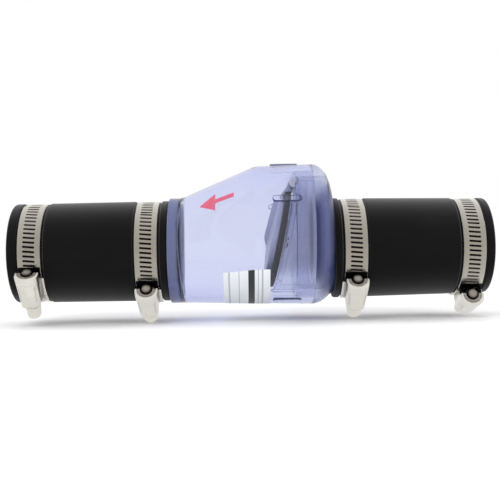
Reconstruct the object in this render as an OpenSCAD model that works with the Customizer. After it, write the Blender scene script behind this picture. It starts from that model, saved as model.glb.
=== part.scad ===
// Clear swing check valve for a 1-1/2 inch discharge pipe, with a rubber sleeve and two
// worm-drive clamps at each end. The centre of the inlet sleeve's mouth is the origin,
// water flows along +X, and the hinge of the flapper is on top, towards +Z.

/* [Pipe] */
// Outside diameter of the pipe that each sleeve takes
pipe_d = 48.26; // [42:0.01:54]
// Wall of the two stubs that the sleeves are pushed onto
stub_wall = 3.7; // [2.5:0.1:5]
// Gap between the end of each stub and the stop rib inside its sleeve
stub_gap = 1.5; // [0.5:0.1:15]

/* [Sleeves] */
// Length of a rubber sleeve
sleeve_length = 90; // [80:1:130]
// Wall of a sleeve at its body end
sleeve_wall = 5.2; // [4.2:0.1:8]
// Gap between pipe or stub and sleeve, on the radius
sleeve_fit = 0.12; // [0.05:0.01:0.3]
// Radius that the clamp has taken off the mouth of the inlet sleeve
inlet_squeeze = 1.4; // [0:0.1:1.8]
// Radius that the clamp has taken off the mouth of the outlet sleeve
outlet_squeeze = 0.4; // [0:0.1:1.8]
// Height of the stop rib at the middle of a sleeve
stop_height = 1.8; // [0.5:0.1:3.5]
// Width of the stop rib
stop_width = 3; // [1.5:0.5:6]
// Depth of the grooves that the clamp bands lie in
groove_depth = 1; // [0.5:0.1:1.5]
// Width of those grooves
groove_width = 15.6; // [15.4:0.1:18]
// Bevel at the ends of a sleeve
sleeve_bevel = 0.8; // [0.2:0.1:1.5]

/* [Body] */
// Outside radius of the chamber at its open rim
chamber_r = 41.35; // [40.5:0.05:46]
// Depth of the chamber's underside below the pipe's axis
chamber_drop = 32.9; // [32.2:0.05:33.5]
// Length of the chamber from its rim to the flare
chamber_length = 30; // [28:0.5:40]
// Radius that the chamber loses along that length, for the mould's draft
chamber_draft = 0.75; // [0:0.05:0.9]
// Length of the flare from the chamber down to the collar
flare_length = 48.5; // [46:0.5:70]
// Share of the flare that each of its two blends takes
flare_blend = 0.11; // [0.05:0.01:0.4]
// Outside radius of the collar that the outlet sleeve butts against
collar_r = 30.9; // [29.8:0.1:34]
// Length of that collar
collar_length = 4.5; // [3.5:0.5:10]
// Wall of the chamber and the flare
shell_wall = 3.5; // [2:0.1:3.8]
// Thickness of the collar's end wall
end_wall = 5; // [4.5:0.5:8]
// Lean of the cavity's end wall, further downstream at its top
end_lean = 2.6; // [0:0.2:4]
// Length, width and height of a locating pad on the chamber
pad_size = [16.3, 3.8, 0.9];
// Distance from the chamber's rim to the middle of a pad
pad_place = 15.5; // [10:0.5:18]
// Angles of the pads round the chamber's axis, from +Y towards +Z
pad_angles = [28, 90, 152, 246, 294];

/* [Inlet hub] */
// Length of the hub's rounded end
dome_length = 12; // [10:0.5:18]
// Radius at which the rounded end meets the inlet sleeve
dome_foot_r = 25.6; // [25.2:0.1:28]
// Thickness of the hub's end wall behind the seat insert
hub_wall = 5; // [4.2:0.1:7]
// Length of the ring that the hub plugs into the chamber
spigot_length = 10.5; // [6:0.5:11.5]
// Gap of the solvent-welded joints, on the radius
weld_fit = 0.1; // [0.05:0.01:0.2]

/* [Seat insert] */
// Distance from the outside of the chamber's rim to the outside of the insert's tube
insert_inset = 7.85; // [7.2:0.05:8.3]
// Wall of that tube
insert_wall = 2.5; // [1.5:0.1:3]
// Height of the insert's axis above the chamber's axis
insert_lift = 0.75; // [0.5:0.05:1.2]
// Lean of the seat from upright, towards the outlet at its foot
seat_tilt = 12; // [6:0.5:15]
// Distance from the inlet hub's end face to the centre of the seat
seat_distance = 28.5; // [27:0.5:34]
// Depth of the seat's centre below the insert's axis
seat_sink = 4.7; // [4.2:0.1:5.7]
// Distance from the outside of the insert's tube to the hole that the flapper closes
seat_rim = 10.5; // [9.5:0.5:15.5]
// Thickness of the slanted seat plate
seat_plate = 3; // [2:0.1:4]
// Height and width of the lip round the hole
seat_lip = [0.8, 2];

/* [Flapper] */
// Distance from the outside of the insert's tube to the edge of the rubber facing
facing_inset = 5.5; // [5.1:0.1:7.5]
// Thickness of the rubber facing
facing_t = 3.2; // [1.5:0.1:4]
// Gap between the closed facing and the lip of the seat
facing_gap = 0.05; // [0.02:0.01:0.2]
// Distance from the facing's edge to the rim of the weight plate behind it
plate_inset = 4.5; // [1:0.5:10]
// Thickness of the weight plate at its rim
plate_t = 3.4; // [2:0.1:4.5]
// Height that the plate's shallow cone adds towards the middle
plate_crown = 2; // [0.5:0.1:2.5]
// Width of the arm between hinge and plate
arm_width = 6.4; // [4:0.1:6.8]
// Thickness of the arm where it runs from the hinge over the facing
strap_t = 2.7; // [2:0.1:3.4]
// Height of the arm's rib over the facing, at the plate's rim and at its middle
rib_heights = [6.1, 7.6];
// Radius and thickness of the washer that holds the facing
washer_size = [14, 1.4];
// Radius of the screw through washer, facing and plate
core_r = 1.9; // [1.5:0.1:2.5]
// Radius and height of that screw's head
pan_size = [4, 2.6];
// Distance of the hinge from the seat's centre, beyond the radius of the insert's tube
hinge_over = 0.5; // [-0.1:0.1:0.9]
// Distance of the hinge from the seat plate's face
hinge_out = 1; // [0.9:0.1:2]
// Radius of the hinge pin
pin_r = 1.25; // [1:0.05:1.4]
// Running gap round the pin
pin_fit = 0.06; // [0.03:0.01:0.1]
// Radius of the hinge knuckle on the arm
knuckle_r = 2.5; // [2.2:0.05:2.7]
// Radius of the ears round the pin
ear_r = 3.3; // [2.9:0.05:3.6]
// Clearance of the knuckle in its recess
knuckle_gap = 0.3; // [0.2:0.05:0.4]
// Distance from the middle to the outside of the ears that carry the pin
ear_out = 9.6; // [9.4:0.1:10.2]
// Thickness of an ear
ear_t = 2.2; // [1.5:0.1:2.4]
// Radius of the spring's wire
wire_r = 0.4; // [0.3:0.05:0.42]
// Whole turns of the spring's coil
spring_turns = 3; // [1:1:3]

/* [Clamps] */
// Distance of the four clamps from the nearer end of their sleeve, from inlet to outlet
clamp_insets = [11.8, 11.4, 12, 12.8];
// Angle of the four screws below +Y, from inlet to outlet
clamp_angles = [70.5, 47, 53.5, 35];
// Width of a clamp band
band_width = 12.7; // [10:0.1:12.8]
// Thickness of a clamp band
band_t = 0.6; // [0.4:0.05:0.8]
// Gap between groove, band and housing
band_fit = 0.05; // [0.02:0.01:0.15]
// Angles that the loose end of a band covers, under the screw's head and past its tip
tail_span = [18, 102];
// Distance from slot to slot round a band
slot_pitch = 2.6; // [2.4:0.05:4]
// Length and width of a slot
slot_size = [6.3, 1.15];
// Slant of the slots
slot_slant = 5; // [0:0.5:9]
// Radius of the screw's worm
worm_r = 4.1; // [3.6:0.1:4.3]
// Length of the worm
worm_length = 17.6; // [14:0.1:20]
// Distance from thread to thread along the worm
worm_pitch = 3.1; // [2.6:0.1:4]
// Gap between the worm and the band
worm_gap = 0.3; // [0.2:0.05:0.5]
// Room inside the housing round the worm
housing_room = 0.4; // [0.3:0.05:0.6]
// Wall of the housing at its head end
housing_wall = 1; // [0.6:0.05:1.1]
// Wall of the housing at its tip end
rim_wall = 2.1; // [1.2:0.1:2.3]
// Width of the saddle under the housing
saddle_width = 15.3; // [15:0.1:17]
// Thickness of the saddle
saddle_t = 0.8; // [0.6:0.05:1.2]
// Angles that the saddle covers round the band, towards the screw's head and towards its tip
saddle_span = [28, 7];
// Radius of the screw's round tip
tip_r = 3.1; // [2.2:0.1:3.3]
// Size of the hexagonal head across its flats
head_flats = 8; // [6.5:0.1:8.6]
// Length of the hexagonal head
head_length = 8; // [5:0.1:9]
// Width and depth of the slot in the head
head_slot = [1.2, 2];

/* [Hidden] */

clear_tint = [0.72, 0.76, 0.95, 0.4];
insert_tint = [0.5, 0.55, 0.85, 0.6];
rubber_black = [0.1, 0.1, 0.1];
steel = [0.75, 0.74, 0.7];
plate_grey = [0.62, 0.64, 0.72];

sides = 60; // sides of a lofted ring
far = 200; // longer than anything on the valve
skin = 0.01; // overlap that joins two shapes of one piece

stub_r = pipe_d / 2;
bore_r = stub_r - stub_wall;
sleeve_bore_r = stub_r + sleeve_fit;
sleeve_r = sleeve_bore_r + sleeve_wall;
stub_reach = sleeve_length / 2 - stop_width / 2 - stub_gap;

x_hub = sleeve_length;
x_rim = x_hub + dome_length;
x_flare = x_rim + chamber_length;
x_collar = x_flare + flare_length;
x_shoulder = x_collar + collar_length;
x_outlet = x_shoulder + sleeve_length;
x_floor = x_hub + hub_wall;
x_seat = x_hub + seat_distance;
chamber_rise = chamber_r - chamber_drop;
insert_rise = chamber_rise + insert_lift;
insert_r = chamber_r - insert_inset;
seat_rise = insert_rise - seat_sink;
seat_hole_r = insert_r - seat_rim;
facing_r = insert_r - facing_inset;
plate_r = facing_r - plate_inset;
hinge_up = insert_r + hinge_over;

// Layers of the flapper, counted downstream from the face of the seat plate
n_facing = seat_lip[0] + facing_gap;
n_plate = n_facing + facing_t;
n_back = n_plate + plate_t;

// Straight line with a round blend at each end, from 0 to 1
function blend_ramp(t, b) =
    t <= 0 ? 0 :
    t >= 1 ? 1 :
    t < b ? t * t / (2 * b * (1 - b)) :
    t > 1 - b ? 1 - (1 - t) * (1 - t) / (2 * b * (1 - b)) :
    (t - b / 2) / (1 - b);

// Share of the flare that is done at a place along X
function flare_share(x) = blend_ramp((x - x_flare) / flare_length, flare_blend);
function shell_centre(x) = chamber_rise * (1 - flare_share(x));
function chamber_end_r() = chamber_r - chamber_draft;
function shell_r(x) =
    x < x_flare
        ? chamber_r - chamber_draft * (x - x_rim) / chamber_length
        : chamber_end_r() + (collar_r - chamber_end_r()) * flare_share(x);

// Points of one ring: [x, height of its centre, radius, lean of its top along X]
function ring_points(ring) = [
    for (i = [0:sides - 1])
        let (a = 360 * i / sides, up = ring[2] * cos(a))
        [ring[0] + up * (len(ring) > 3 ? ring[3] : 0), ring[2] * sin(a), ring[1] + up]
];

// Closed wall through a loop of upright rings: down the outside towards +X, and back inside
module ring_wall(rings) {
    count = len(rings);
    polyhedron(
        points = [for (ring = rings) each ring_points(ring)],
        faces = [
            for (k = [0:count - 1], i = [0:sides - 1])
                let (
                    here = k * sides,
                    next = ((k + 1) % count) * sides,
                    j = (i + 1) % sides
                )
                [here + i, here + j, next + j, next + i]
        ],
        convexity = 8
    );
}

// Tube of a small number of sides along a list of points that lie in planes of constant depth
module wire(path, radius, wire_sides = 8) {
    count = len(path);
    tangents = [
        for (k = [0:count - 1])
            let (step = path[min(k + 1, count - 1)] - path[max(k - 1, 0)])
            step / norm(step)
    ];
    rings = [
        for (k = [0:count - 1])
            let (
                flat = cross(tangents[k], [0, 1, 0]),
                side = flat / norm(flat),
                up = cross(side, tangents[k])
            )
            [for (i = [0:wire_sides - 1])
                let (a = 360 * i / wire_sides)
                path[k] + radius * (cos(a) * side + sin(a) * up)]
    ];
    polyhedron(
        points = [for (ring = rings) each ring],
        faces = concat(
            [[for (i = [wire_sides - 1:-1:0]) i]],
            [for (k = [0:count - 2], i = [0:wire_sides - 1])
                let (here = k * wire_sides, j = (i + 1) % wire_sides)
                [here + i, here + j, here + wire_sides + j, here + wire_sides + i]],
            [[for (i = [0:wire_sides - 1]) (count - 1) * wire_sides + i]]
        ),
        convexity = 8
    );
}

// Cylinder along X
module bar_x(x0, x1, r, rise = 0) {
    translate([x0, 0, rise]) rotate([0, 90, 0]) cylinder(h = x1 - x0, r = r, $fn = 120);
}

// Cylinder along Y, between two depths
module bar_y(y0, y1, r) {
    translate([0, y1, 0]) rotate([90, 0, 0]) cylinder(h = y1 - y0, r = r, $fn = 48);
}

// Children are drawn with Z pointing downstream from the seat, X up along it, and Y across
module on_seat() {
    translate([x_seat, 0, seat_rise]) rotate([0, 90 - seat_tilt, 0]) rotate([0, 0, 180]) children();
}

// Flat ring or disc on the seat, from one height to another
module seat_disc(z0, z1, r) {
    translate([0, 0, z0]) cylinder(h = z1 - z0, r = r, $fn = 120);
}

// Children are drawn with the origin on the hinge's axis
module at_hinge() {
    translate([hinge_up, 0, hinge_out]) children();
}

// Outside radius of a sleeve at a distance from its mouth
function sleeve_at(d, squeeze) = sleeve_r - squeeze * (1 - d / sleeve_length);
function groove_floor(d, squeeze) = sleeve_at(d, squeeze) - groove_depth;

// Half section of a sleeve: [distance from the mouth, radius]
groove_slope = 0.3;
function groove_points(d, squeeze) =
    let (floor_r = groove_floor(d, squeeze), half = groove_width / 2)
    [
        [d - half, sleeve_at(d - half, squeeze)], [d - half + groove_slope, floor_r],
        [d + half - groove_slope, floor_r], [d + half, sleeve_at(d + half, squeeze)],
    ];

function sleeve_section(squeeze, mouth_inset, body_inset) = concat(
    [[0, sleeve_bore_r], [0, sleeve_at(0, squeeze) - sleeve_bevel],
        [sleeve_bevel, sleeve_at(sleeve_bevel, squeeze)]],
    groove_points(mouth_inset, squeeze),
    groove_points(sleeve_length - body_inset, squeeze),
    [[sleeve_length - sleeve_bevel, sleeve_r], [sleeve_length, sleeve_r - sleeve_bevel],
        [sleeve_length, sleeve_bore_r]],
    [for (end = [[1, 0], [1, 1], [-1, 1], [-1, 0]])
        [sleeve_length / 2 + end[0] * stop_width / 2, sleeve_bore_r - end[1] * stop_height]]
);

module sleeve(squeeze, mouth_inset, body_inset) {
    color(rubber_black)
    rotate([0, 90, 0]) rotate_extrude($fn = 120)
        polygon([for (p = sleeve_section(squeeze, mouth_inset, body_inset)) [p[1], p[0]]]);
}

module inlet_sleeve() {
    sleeve(inlet_squeeze, clamp_insets[0], clamp_insets[1]);
}

module outlet_sleeve() {
    translate([x_outlet, 0, 0]) mirror([1, 0, 0])
        sleeve(outlet_squeeze, clamp_insets[3], clamp_insets[2]);
}

// Rings down the outside of the flare and, with a wall taken off, up its inside
flare_steps = 15;
function flare_ring(k, end, wall, lean) =
    let (x = x_flare + (end - x_flare) * k / flare_steps)
    [x, shell_centre(x), shell_r(x) - wall, lean * flare_share(x)];

x_cavity = x_shoulder - end_wall;
cavity_fillet = 2.4;
cavity_lean = tan(end_lean);
collar_edge = 0.5;

// The fillet between the cavity's side and its end wall, from the wall outwards
function fillet_ring(a) = [
    x_cavity - cavity_fillet * (1 - cos(a)),
    shell_centre(x_cavity),
    shell_r(x_cavity) - shell_wall - cavity_fillet * (1 - sin(a)),
    cavity_lean,
];

shell_rings = concat(
    [[x_rim, chamber_rise, chamber_r]],
    [for (k = [0:flare_steps]) flare_ring(k, x_collar, 0, 0)],
    [[x_shoulder - collar_edge, 0, collar_r], [x_shoulder, 0, collar_r - collar_edge],
        [x_shoulder, 0, stub_r + weld_fit], [x_cavity, 0, stub_r + weld_fit, cavity_lean]],
    [for (a = [0:30:60]) fillet_ring(a)],
    [for (k = [flare_steps:-1:0])
        flare_ring(k, x_cavity - cavity_fillet, shell_wall, cavity_lean)],
    [[x_rim, chamber_rise, chamber_r - shell_wall]]
);

// Flat pad with round ends that stands on the chamber's wall
module locating_pad(angle) {
    straight = pad_size[0] - pad_size[1];
    sunk = 1.2;
    translate([x_rim + pad_place, 0, chamber_rise])
        rotate([angle - 90, 0, 0])
        translate([0, 0, shell_r(x_rim + pad_place) - sunk])
        linear_extrude(height = sunk + pad_size[2]) {
            square([straight, pad_size[1]], center = true);
            for (end = [-1, 1])
                translate([end * straight / 2, 0]) circle(d = pad_size[1], $fn = 32);
        }
}

// Clear moulded chamber, flare and collar
module body_shell() {
    color(clear_tint) {
        ring_wall(shell_rings);
        for (angle = pad_angles) locating_pad(angle);
    }
}

// Clear pipe between two places along X, welded into an end wall and pushed into a sleeve
module stub(from, to) {
    color(clear_tint)
    difference() {
        bar_x(from, to, stub_r);
        bar_x(from - 1, to + 1, bore_r);
    }
}

module outlet_stub() {
    stub(x_cavity + cavity_lean * stub_r, x_shoulder + stub_reach);
}

module inlet_stub() {
    stub(x_hub - stub_reach, x_floor);
}

spigot_r = chamber_r - shell_wall - chamber_draft * spigot_length / chamber_length - weld_fit;

// The rounded end narrows as a quarter ellipse, and its centre drops to the pipe's axis late
function dome_ring(a) = [
    x_rim - dome_length * sin(a),
    chamber_rise * (1 - (1 - cos(a)) * (1 - cos(a))),
    dome_foot_r + (chamber_r - dome_foot_r) * cos(a),
];

hub_rings = concat(
    [[x_rim, chamber_rise, spigot_r], [x_rim + spigot_length, chamber_rise, spigot_r],
        [x_rim + spigot_length, insert_rise, insert_r + weld_fit],
        [x_floor, insert_rise, insert_r + weld_fit],
        [x_floor, 0, stub_r + weld_fit], [x_hub, 0, stub_r + weld_fit]],
    [for (a = [90:-9:0]) dome_ring(a)]
);

// Clear moulded end: rounded end wall and the ring that plugs into the chamber
module inlet_hub() {
    color(clear_tint) ring_wall(hub_rings);
}

// Everything upstream of a plane that is parallel to the seat
module upstream_of(height) {
    on_seat() translate([-far / 2, -far / 2, height - far]) cube(far);
}

// Pieces on the hinge, counted along its axis from the middle of the valve
ear_in = ear_out - ear_t;
side_play = 0.2;
pin_play = 0.1;
pin_head_t = 1;
pin_head_r = pin_r + 0.9;
clip_t = 0.7;
clip_play = 0.05;
clip_groove_r = pin_r - 0.35;
clip_r = pin_r + 1.2;
pin_end = ear_out + pin_play + clip_t + 0.8;

// The coil winds round the pin beside the arm
coil_r = pin_r + pin_fit + wire_r + 0.5;
coil_start = arm_width / 2 + wire_r + side_play;
coil_step = 2 * wire_r + 0.06;
recess_r = coil_r + wire_r + knuckle_gap;

// Round-topped ears, trimmed to the tube so that they pass through the hub's ring
module seat_ears() {
    intersection() {
        bar_x(x_floor, x_floor + far, insert_r, insert_rise);
        on_seat() at_hinge() {
            bar_y(-ear_out, -ear_in, ear_r);
            bar_y(ear_in, ear_out, ear_r);
        }
    }
}

// Tube that ends in the slanted seat plate, with a raised lip round the hole
module seat_cup() {
    difference() {
        union() {
            intersection() {
                bar_x(x_floor, x_floor + far, insert_r, insert_rise);
                upstream_of(0);
            }
            on_seat() seat_disc(-skin, seat_lip[0], seat_hole_r + seat_lip[1]);
        }
        intersection() {
            bar_x(x_floor - 1, x_floor + far, insert_r - insert_wall, insert_rise);
            upstream_of(-seat_plate);
        }
        on_seat() seat_disc(-seat_plate - 1, seat_lip[0] + 1, seat_hole_r);
        on_seat() at_hinge() bar_y(-pin_end - pin_play, pin_end + pin_play, recess_r);
    }
}

// Clear cup that carries the slanted seat and the two ears of the hinge
module seat_insert() {
    color(insert_tint)
    difference() {
        union() {
            seat_cup();
            seat_ears();
        }
        on_seat() {
            at_hinge() bar_y(-ear_out - 1, ear_out + 1, pin_r + pin_fit);
            translate([hinge_up + coil_r, coil_end, spring_foot - skin])
                cylinder(h = seat_plate, r = wire_r + side_play, $fn = 24);
        }
    }
}

// Hole through washer, facing and plate for the screw
module core_hole(z0, z1) {
    seat_disc(z0 - 1, z1, core_r + 0.1);
}

// Side view of the arm, from the knuckle over the rim of the facing to the middle of the plate
arm_root = 0.8;
arm_clear = 0.3;
arm_bend = 0.6;
function arm_outline() = [
    [hinge_up + arm_root, arm_clear],
    [hinge_up + arm_root, hinge_out + knuckle_r * 0.9],
    [plate_r - plate_edge / 2, n_plate + strap_t],
    [plate_r - 1.5 * plate_edge, n_plate + rib_heights[0]],
    [0, n_plate + rib_heights[1]],
    [-boss_r, n_back + plate_crown],
    [-boss_r, n_plate + plate_t / 2],
    [plate_r - 4 * plate_edge, n_plate + plate_t / 2],
    [facing_r + arm_bend, n_plate],
    [facing_r + 2 * arm_bend, arm_clear],
];

// Shallow cone on the back of the plate, from the bevel of its rim up to the boss
plate_edge = 0.8;
boss_r = 4.5;
cone_r = plate_r - plate_edge;
function plate_back(r) = n_back + plate_crown * (cone_r - r) / (cone_r - boss_r);

// Weight plate with its arm and knuckle in one moulding
module flapper_plate() {
    color(plate_grey)
    on_seat() difference() {
        union() {
            seat_disc(n_plate, n_back - plate_edge, plate_r);
            translate([0, 0, n_back - plate_edge])
                cylinder(h = plate_edge, r1 = plate_r, r2 = cone_r, $fn = 120);
            translate([0, 0, n_back - skin])
                cylinder(h = plate_crown + skin, r1 = cone_r, r2 = boss_r, $fn = 120);
            translate([0, arm_width / 2, 0]) rotate([90, 0, 0])
                linear_extrude(height = arm_width) polygon(arm_outline());
            at_hinge() bar_y(-ear_in + side_play, arm_width / 2, knuckle_r);
        }
        at_hinge() bar_y(-ear_out, ear_out, pin_r + pin_fit);
        core_hole(n_plate, n_back);
    }
}

// Soft rubber disc that closes on the lip of the seat
module flapper_facing() {
    color(rubber_black)
    on_seat() difference() {
        seat_disc(n_facing, n_plate, facing_r);
        core_hole(n_facing, n_plate + 1);
    }
}

// Steel washer under the head of the screw
module facing_washer() {
    color(steel)
    on_seat() difference() {
        seat_disc(n_facing - washer_size[1], n_facing, washer_size[0]);
        core_hole(n_facing - washer_size[1], n_facing + 1);
    }
}

// Pan-head screw that holds washer, facing and plate together
module facing_screw() {
    cross_slot = [pan_size[0] * 1.2, 0.8, 1.2];
    head_under = n_facing - washer_size[1];
    head_top = head_under - pan_size[1];
    color(steel)
    on_seat() difference() {
        union() {
            translate([0, 0, head_top])
                cylinder(h = 1, r1 = pan_size[0] - 1, r2 = pan_size[0], $fn = 48);
            seat_disc(head_top + 1 - skin, head_under, pan_size[0]);
            seat_disc(head_under - skin, n_back - side_play, core_r);
        }
        for (turn = [0, 90])
            translate([0, 0, head_top]) rotate([0, 0, turn])
                cube([cross_slot[0], cross_slot[1], 2 * cross_slot[2]], center = true);
    }
}

// Steel pin through both ears, with a head on one end and a groove for the clip on the other
module hinge_pin() {
    clip_from = -ear_out - pin_play - clip_t;
    color(steel)
    on_seat() at_hinge() {
        bar_y(-pin_end, clip_from, pin_r);
        bar_y(clip_from - skin, clip_from + clip_t + skin, clip_groove_r);
        bar_y(clip_from + clip_t, ear_out + pin_play + skin, pin_r);
        bar_y(ear_out + pin_play, ear_out + pin_play + pin_head_t, pin_head_r);
    }
}

// Open ring that snaps into the groove of the pin
module pin_clip() {
    clip_from = -ear_out - pin_play - clip_t;
    mouth = 1.6 * clip_groove_r;
    color(steel)
    on_seat() at_hinge() difference() {
        bar_y(clip_from + clip_play, clip_from + clip_t - clip_play, clip_r);
        bar_y(clip_from - 1, clip_from + clip_t + 1, clip_groove_r + clip_play);
        translate([0, clip_from - 1, -mouth / 2]) cube([2 * clip_r, clip_t + 2, mouth]);
    }
}

// The wire lies on the plate beside the arm, meets the coil where it touches it, winds round
// the pin and ends in the seat plate
coil_segments = 12;
wire_seat = wire_r + 0.25;
spring_foot = 0.9 - seat_plate;
spring_tip = [0.4 * plate_r, coil_start, plate_back(norm([0.4 * plate_r, coil_start])) + wire_seat];
spring_bend = [cone_r - 1, coil_start, n_back + wire_seat];
reach = [spring_bend[0] - hinge_up, spring_bend[2] - hinge_out];
coil_from = atan2(reach[1], reach[0]) - acos(coil_r / norm(reach));
coil_turn = 360 * spring_turns + coil_from;
coil_steps = ceil(coil_segments * coil_turn / 360);
coil_end = coil_start + coil_step * coil_turn / 360;

spring_path = concat(
    [spring_tip, spring_bend],
    [for (k = [0:coil_steps])
        let (a = coil_from - coil_turn * k / coil_steps)
        [hinge_up + coil_r * cos(a),
            coil_start + (coil_end - coil_start) * k / coil_steps,
            hinge_out + coil_r * sin(a)]],
    [[hinge_up + coil_r, coil_end, spring_foot]]
);

// Torsion spring that closes the flapper before the flow turns back
module closing_spring() {
    color(steel)
    on_seat() wire(spring_path, wire_r);
}

// One clamp of four: where it is along X, the floor of its groove, and the angle of its screw
function clamp_x(k) = [
    clamp_insets[0],
    sleeve_length - clamp_insets[1],
    x_shoulder + clamp_insets[2],
    x_outlet - clamp_insets[3],
][k];
function clamp_floor(k) = [
    groove_floor(clamp_insets[0], inlet_squeeze),
    groove_floor(sleeve_length - clamp_insets[1], inlet_squeeze),
    groove_floor(sleeve_length - clamp_insets[2], outlet_squeeze),
    groove_floor(clamp_insets[3], outlet_squeeze),
][k];
function band_r(k) = clamp_floor(k) + band_fit;
function tail_r(k) = band_r(k) + 2 * band_t;
function screw_r(k) = tail_r(k) + worm_gap + worm_r;

// Children are drawn with the clamp's ring round X, its screw over +Y and the head towards -Z
module at_clamp(k) {
    translate([clamp_x(k), 0, 0]) rotate([-clamp_angles[k], 0, 0]) children();
}

// Part of a ring round X, from one angle to another, counted from +Y towards +Z
module ring_arc(r0, r1, width, from, to) {
    translate([-width / 2, 0, 0]) rotate([0, 90, 0]) rotate([0, 0, 90 - from])
        rotate_extrude(angle = from - to, $fn = 120)
        translate([r0, 0]) square([r1 - r0, width]);
}

// Slotted steel strip: one whole turn, and a loose end that lies on its own first part
module clamp_band(k) {
    r = band_r(k);
    slots = floor(2 * PI * (r + band_t) / slot_pitch);
    color(steel)
    at_clamp(k) difference() {
        union() {
            bar_x(-band_width / 2, band_width / 2, r + band_t);
            ring_arc(r + band_t - skin, r + 2 * band_t, band_width, -tail_span[0], tail_span[1]);
        }
        bar_x(-band_width, band_width, r);
        for (i = [0:slots - 1])
            rotate([i * 360 / slots, 0, 0]) translate([0, r + band_t, 0])
                rotate([0, -slot_slant, 0])
                cube([slot_size[0], 4 * band_t, slot_size[1]], center = true);
    }
}

// The housing widens from the head of the screw to its tip
cage_play = 0.5;
cage_half = worm_length / 2 + cage_play + housing_wall;
cage_r = worm_r + housing_room;
rim_r = cage_r + rim_wall;
rim_depth = 4;
tip_play = 0.3;
neck_r = 2.7;
saddle_lap = 0.1;
tab_angle = 14;

// Round arch over the screw on straight legs, from height foot up to the screw's axis
module arch(r, half, foot, top) {
    translate([0, 0, -half]) linear_extrude(height = 2 * half) {
        translate([0, top]) circle(r = r, $fn = 64);
        translate([-r, foot]) square([2 * r, top - foot]);
    }
}

// Space between two upright cheeks that stand further apart at the tip than at the head
module between_cheeks(head_half, tip_half, height) {
    long = cage_half + 1;
    translate([0, height, 0]) rotate([90, 0, 0]) linear_extrude(height = height)
        polygon([[-head_half, -long], [head_half, -long], [tip_half, long], [-tip_half, long]]);
}

// Pressed steel cage over the worm, on a saddle with two tabs that lap the edges of the band
module clamp_housing(k) {
    top = screw_r(k);
    seat = tail_r(k) + band_fit;
    foot = sqrt(seat * seat - cage_half * cage_half) - 1;
    inner_half = cage_half - housing_wall;
    tab_x = band_width / 2 + saddle_lap + saddle_t / 2;
    color(steel)
    at_clamp(k) {
        difference() {
            union() {
                intersection() {
                    arch(rim_r, cage_half, foot, top);
                    between_cheeks(cage_r + housing_wall, rim_r, top + 2 * rim_r);
                }
                ring_arc(foot, seat + saddle_t, saddle_width, -saddle_span[0], saddle_span[1]);
            }
            arch(cage_r, inner_half, foot - 1, top);
            bar_x(-saddle_width, saddle_width, seat);
            translate([0, top, -2 * cage_half])
                cylinder(h = 2 * cage_half, r = neck_r + tip_play, $fn = 48);
            translate([0, top, 0]) cylinder(h = 2 * cage_half, r = tip_r + tip_play, $fn = 48);
            translate([-2 * rim_r, 0, cage_half - rim_depth])
                cube([4 * rim_r, top - tip_play, cage_half]);
        }
        for (side = [-1, 1])
            translate([side * tab_x, 0, 0])
                ring_arc(band_r(k) + saddle_lap, seat + saddle_t / 2, saddle_t,
                    -tab_angle / 2, tab_angle / 2);
    }
}

// Half section of one thread ridge of the worm: [radius, distance along the screw]
thread_depth = 0.7;
thread_width = 1.6;
function thread_ridge(z) = [
    [worm_r - thread_depth, z - thread_width / 2],
    [worm_r, z - thread_width / 6],
    [worm_r, z + thread_width / 6],
    [worm_r - thread_depth, z + thread_width / 2],
];

flange_r = head_flats / 2 + 0.8;
flange_t = 1;
flange_from = -cage_half - tip_play - flange_t;
tip_base = cage_half + 0.2;
tip_dome = 1.1;
thread_count = floor((worm_length - thread_width) / worm_pitch);

// Half section of the screw, from the flange under its head to its round tip
screw_section = concat(
    [[0, flange_from], [flange_r, flange_from], [flange_r, flange_from + flange_t],
        [neck_r, flange_from + flange_t], [neck_r, -worm_length / 2],
        [worm_r - thread_depth, -worm_length / 2]],
    [for (i = [0:thread_count]) each thread_ridge((i - thread_count / 2) * worm_pitch)],
    [[worm_r - thread_depth, worm_length / 2], [tip_r, worm_length / 2]],
    [for (a = [0:15:90]) [tip_r * cos(a), tip_base + tip_dome * sin(a)]]
);

// Worm screw with a slotted hexagonal head that narrows towards its end
module clamp_screw(k) {
    head_from = flange_from - head_length;
    head_end_r = head_flats / 2 - 0.4;
    color(steel)
    at_clamp(k) translate([0, screw_r(k), 0]) {
        rotate_extrude($fn = 96) polygon(screw_section);
        difference() {
            intersection() {
                translate([0, 0, head_from])
                    cylinder(h = head_length + skin, d = head_flats / cos(30), $fn = 6);
                translate([0, 0, head_from])
                    cylinder(h = head_length + skin, r1 = head_end_r, r2 = flange_r, $fn = 96);
            }
            translate([0, 0, head_from])
                cube([2 * flange_r, head_slot[0], 2 * head_slot[1]], center = true);
        }
    }
}

inlet_sleeve();
outlet_sleeve();
body_shell();
outlet_stub();
inlet_hub();
inlet_stub();
seat_insert();
flapper_plate();
flapper_facing();
facing_washer();
facing_screw();
hinge_pin();
pin_clip();
closing_spring();
clamp_band(0);  // band_inlet_mouth
clamp_band(1);  // band_inlet_body
clamp_band(2);  // band_outlet_body
clamp_band(3);  // band_outlet_mouth
clamp_housing(0);  // housing_inlet_mouth
clamp_housing(1);  // housing_inlet_body
clamp_housing(2);  // housing_outlet_body
clamp_housing(3);  // housing_outlet_mouth
clamp_screw(0);  // screw_inlet_mouth
clamp_screw(1);  // screw_inlet_body
clamp_screw(2);  // screw_outlet_body
clamp_screw(3);  // screw_outlet_mouth
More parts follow.
